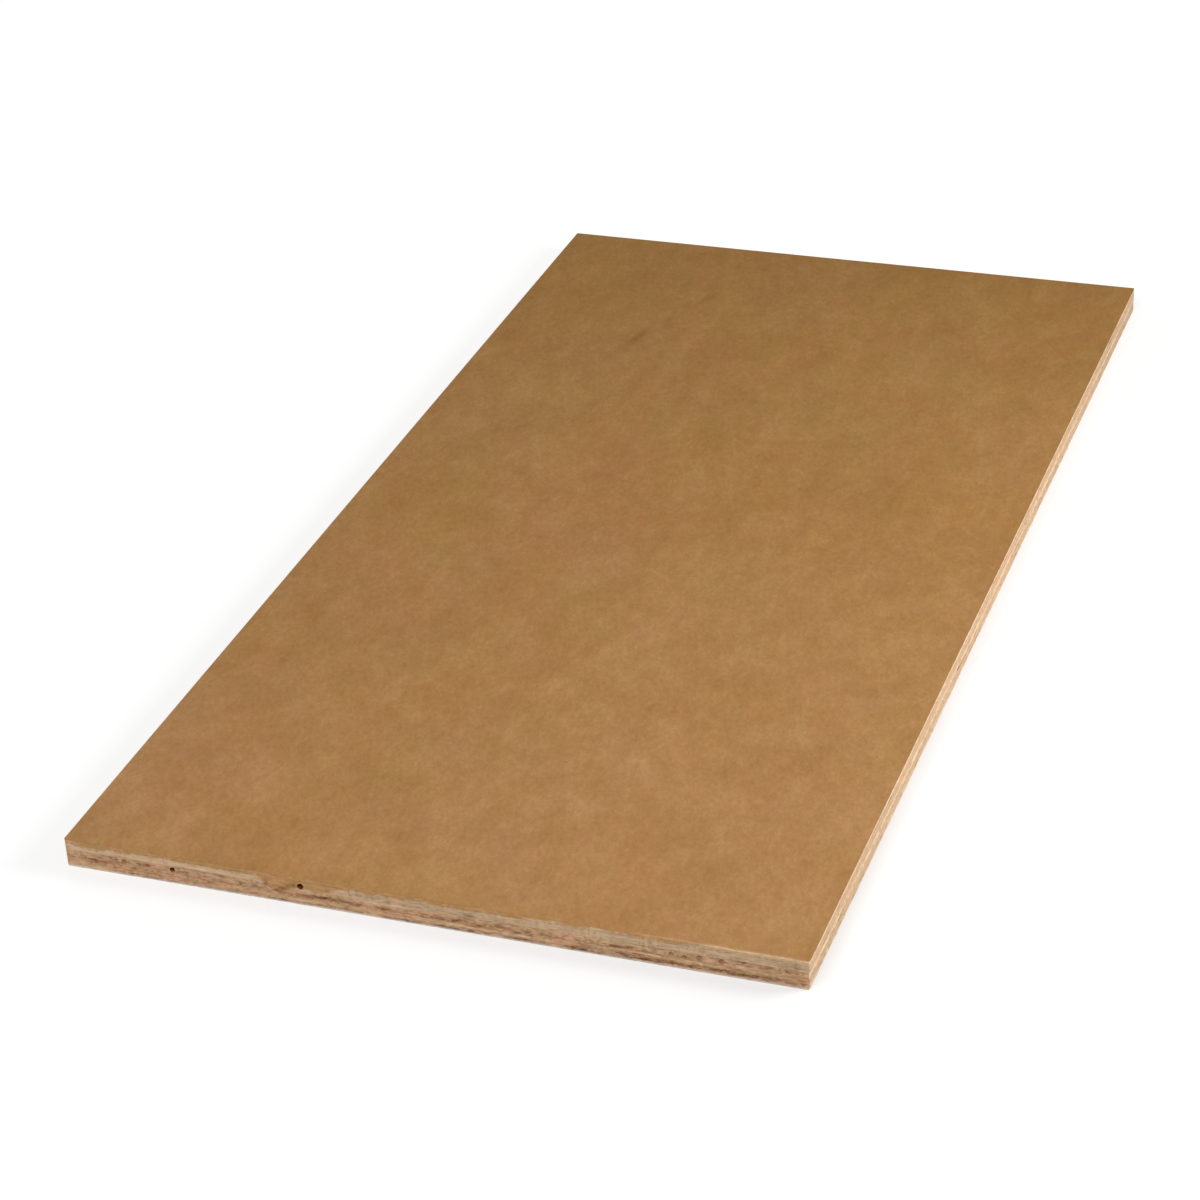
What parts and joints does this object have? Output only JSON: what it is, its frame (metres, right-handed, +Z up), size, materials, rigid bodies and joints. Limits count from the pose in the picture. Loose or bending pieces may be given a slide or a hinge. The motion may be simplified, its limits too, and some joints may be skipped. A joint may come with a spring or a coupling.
{
  "type": "overlaid plywood sheet",
  "caption": "Flat rectangular sheet of softwood plywood with a resin-soaked paper overlay on its face and bare sawn plies on its edges.",
  "frame": {"origin": "on the floor below the middle of the sheet, which lies flat on its bare back", "axes": "+X across the sheet, +Y along it and along the outer grain, from the end with the knot hole towards the far end, +Z up through the layers to the overlaid face"},
  "size_m": [0.4572, 0.9144, 0.0191],
  "materials": {
    "overlay": "resin-soaked kraft paper, cloudy brown, low satin sheen",
    "outer_veneer": "rotary-cut softwood, sawn edges, grain along Y",
    "crossband": "rotary-cut softwood, sawn edges, grain along X",
    "centre": "rotary-cut softwood, sawn edges, grain along Y"
  },
  "bodies": {
    "root": {"back_veneer": "outer_veneer", "lower_crossband": "crossband", "centre_ply": "centre", "upper_crossband": "crossband", "face_veneer": "outer_veneer", "face_overlay": "overlay"}
  },
  "joints": []
}
